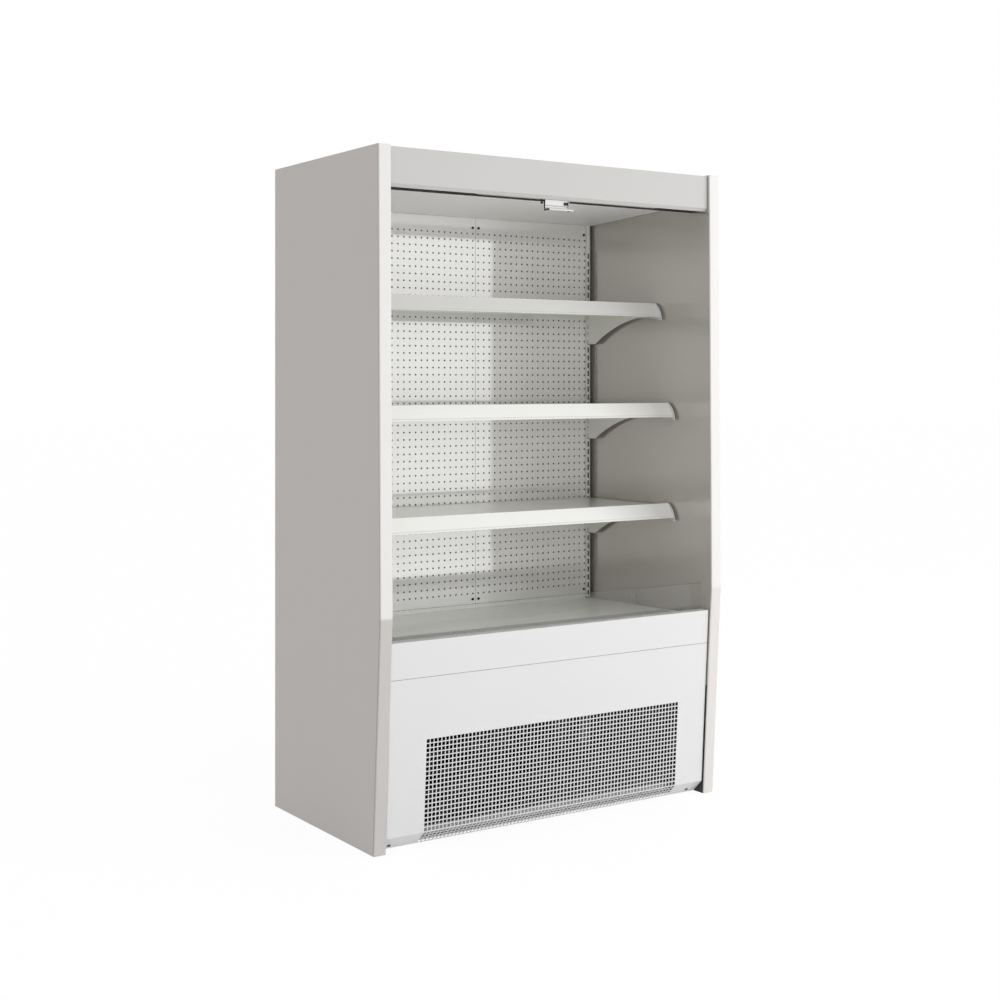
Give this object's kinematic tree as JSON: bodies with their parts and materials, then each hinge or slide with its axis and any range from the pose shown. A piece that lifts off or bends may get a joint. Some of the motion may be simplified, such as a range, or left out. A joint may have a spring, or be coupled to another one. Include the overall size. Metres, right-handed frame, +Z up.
{
  "type": "open multideck display fridge",
  "caption": "Tall open-front refrigerated display case with shelves, night blind, low front glass and a vented base",
  "frame": {"origin": "on the floor under the middle of the case's width and depth", "axes": "+X to the right seen from the customer's side, +Y to the back, +Z up"},
  "size_m": [1.132, 0.654, 1.8],
  "materials": {
    "end_wall_paint": "satin grey paint",
    "end_liner_paint": "smooth warm grey lacquer",
    "foam": "rigid polyurethane foam",
    "trim_plastic": "smooth extruded edge trim",
    "galvanised_sheet": "galvanised sheet",
    "roof_paint": "white paint",
    "front_paint": "white powder coat",
    "interior_paint": "white powder coat",
    "shelf_paint": "white powder coat",
    "strip_plastic": "extruded ticket strip",
    "cap_plastic": "moulded end cap",
    "deck_paint": "light grey paint",
    "grille_plastic": "dark honeycomb",
    "channel_aluminium": "satin anodised",
    "clear_glass": "tempered glass, green at its edges",
    "screw_steel": "blackened screws",
    "foot_plastic": "moulded feet",
    "black_enamel": "black enamel",
    "grommet_rubber": "rubber",
    "coil_aluminium": "bare fins",
    "shroud_steel": "dark grey paint",
    "fan_plastic": "moulded fan",
    "tray_plastic": "moulded tray",
    "box_plastic": "moulded box",
    "switch_plastic": "rocker",
    "gland_plastic": "moulded gland",
    "pipe_sleeve": "black foam rubber sleeve",
    "bracket_steel": "plated steel",
    "blind_cloth": "woven blind cloth",
    "bar_aluminium": "painted extrusion",
    "handle_plastic": "moulded handle"
  },
  "bodies": {
    "case": {"air_outlet_grille": "grille_plastic", "base_pan": "galvanised_sheet", "blind_brackets": "bracket_steel", "canopy_front": "front_paint", "ceiling_panel": "interior_paint", "compressor": "black_enamel", "compressor_grommets": "grommet_rubber", "condensate_tray": "tray_plastic", "condenser_coil": "coil_aluminium", "condenser_shroud": "shroud_steel", "deck_ledges": "galvanised_sheet", "duct_liner": "galvanised_sheet", "duct_panel_left": "interior_paint", "duct_panel_right": "interior_paint", "edge_trims": "trim_plastic", "electrics_box": "box_plastic", "evaporator_coil": "coil_aluminium", "evaporator_fan_plate": "shroud_steel", "front_glass": "clear_glass", "glass_channel": "channel_aluminium", "left_end_core": "foam", "left_end_liner": "end_liner_paint", "left_end_skin": "end_wall_paint", "levelling_feet": "foot_plastic", "lower_front_panel": "front_paint", "mains_gland": "gland_plastic", "panel_screws": "screw_steel", "rear_skin": "galvanised_sheet", "refrigerant_pipes": "pipe_sleeve", "right_end_core": "foam", "right_end_liner": "end_liner_paint", "right_end_skin": "end_wall_paint", "riser_panel": "front_paint", "roof_skin": "roof_paint", "shell_insulation": "foam", "slotted_uprights": "interior_paint", "tank_insulation": "foam", "well_liner": "galvanised_sheet"},
    "blind": {"blind_pull_bar": "bar_aluminium", "blind_handle": "handle_plastic", "blind_cloth": "blind_cloth"},
    "blind_roll": {"blind_roller": "blind_cloth"},
    "shelf_1": {"shelf_1_deck": "shelf_paint", "shelf_1_ticket_strip": "strip_plastic", "shelf_1_end_caps": "cap_plastic", "shelf_1_brackets": "shelf_paint"},
    "shelf_2": {"shelf_2_deck": "shelf_paint", "shelf_2_ticket_strip": "strip_plastic", "shelf_2_end_caps": "cap_plastic", "shelf_2_brackets": "shelf_paint"},
    "shelf_3": {"shelf_3_deck": "shelf_paint", "shelf_3_ticket_strip": "strip_plastic", "shelf_3_end_caps": "cap_plastic", "shelf_3_brackets": "shelf_paint"},
    "deck_tray": {"base_deck": "deck_paint"},
    "grille_tray": {"return_air_grille": "deck_paint"},
    "condenser_rotor": {"condenser_fan": "fan_plastic"},
    "evaporator_rotor_left": {"evaporator_fan_left": "fan_plastic"},
    "evaporator_rotor_right": {"evaporator_fan_right": "fan_plastic"},
    "switch_rocker": {"main_switch": "switch_plastic"}
  },
  "joints": [
    {"name": "blind_pull", "type": "slide", "parent": "case", "child": "blind", "axis": [0, 0, -1], "range_m": [0, 1.11], "stiffness_N_per_m": 10, "springref_m": -0.9, "deforming": ["blind_cloth"]},
    {"name": "blind_roller_turn", "type": "hinge", "parent": "case", "child": "blind_roll", "pos_m": [0, -0.2715, 1.768], "axis": [1, 0, 0], "range_deg": [0, 3280]},
    {"name": "shelf_1_lift", "type": "slide", "parent": "case", "child": "shelf_1", "axis": [0, 0, 1], "range_m": [0, 0.0085]},
    {"name": "shelf_2_lift", "type": "slide", "parent": "case", "child": "shelf_2", "axis": [0, 0, 1], "range_m": [0, 0.0085]},
    {"name": "shelf_3_lift", "type": "slide", "parent": "case", "child": "shelf_3", "axis": [0, 0, 1], "range_m": [0, 0.0085]},
    {"name": "deck_lift", "type": "slide", "parent": "case", "child": "deck_tray", "axis": [0, 0, 1], "range_m": [0, 0.12]},
    {"name": "grille_lift", "type": "slide", "parent": "case", "child": "grille_tray", "axis": [0, 0, 1], "range_m": [0, 0.06]},
    {"name": "condenser_fan_spin", "type": "hinge", "parent": "case", "child": "condenser_rotor", "pos_m": [-0.18, -0.176, 0.169], "axis": [0, 1, 0], "continuous": true},
    {"name": "evaporator_fan_left_spin", "type": "hinge", "parent": "case", "child": "evaporator_rotor_left", "pos_m": [-0.22, -0.0503, 0.424], "axis": [0, 1, 0], "continuous": true},
    {"name": "evaporator_fan_right_spin", "type": "hinge", "parent": "case", "child": "evaporator_rotor_right", "pos_m": [0.22, -0.0503, 0.424], "axis": [0, 1, 0], "continuous": true},
    {"name": "switch_rock", "type": "hinge", "parent": "case", "child": "switch_rocker", "pos_m": [-0.43, 0.085, 0.164], "axis": [1, 0, 0], "range_deg": [-7, 7]}
  ],
  "couplings": [
    {"joint": "blind_roller_turn", "follows": "blind_pull", "rad_per_m": 51.282}
  ]
}
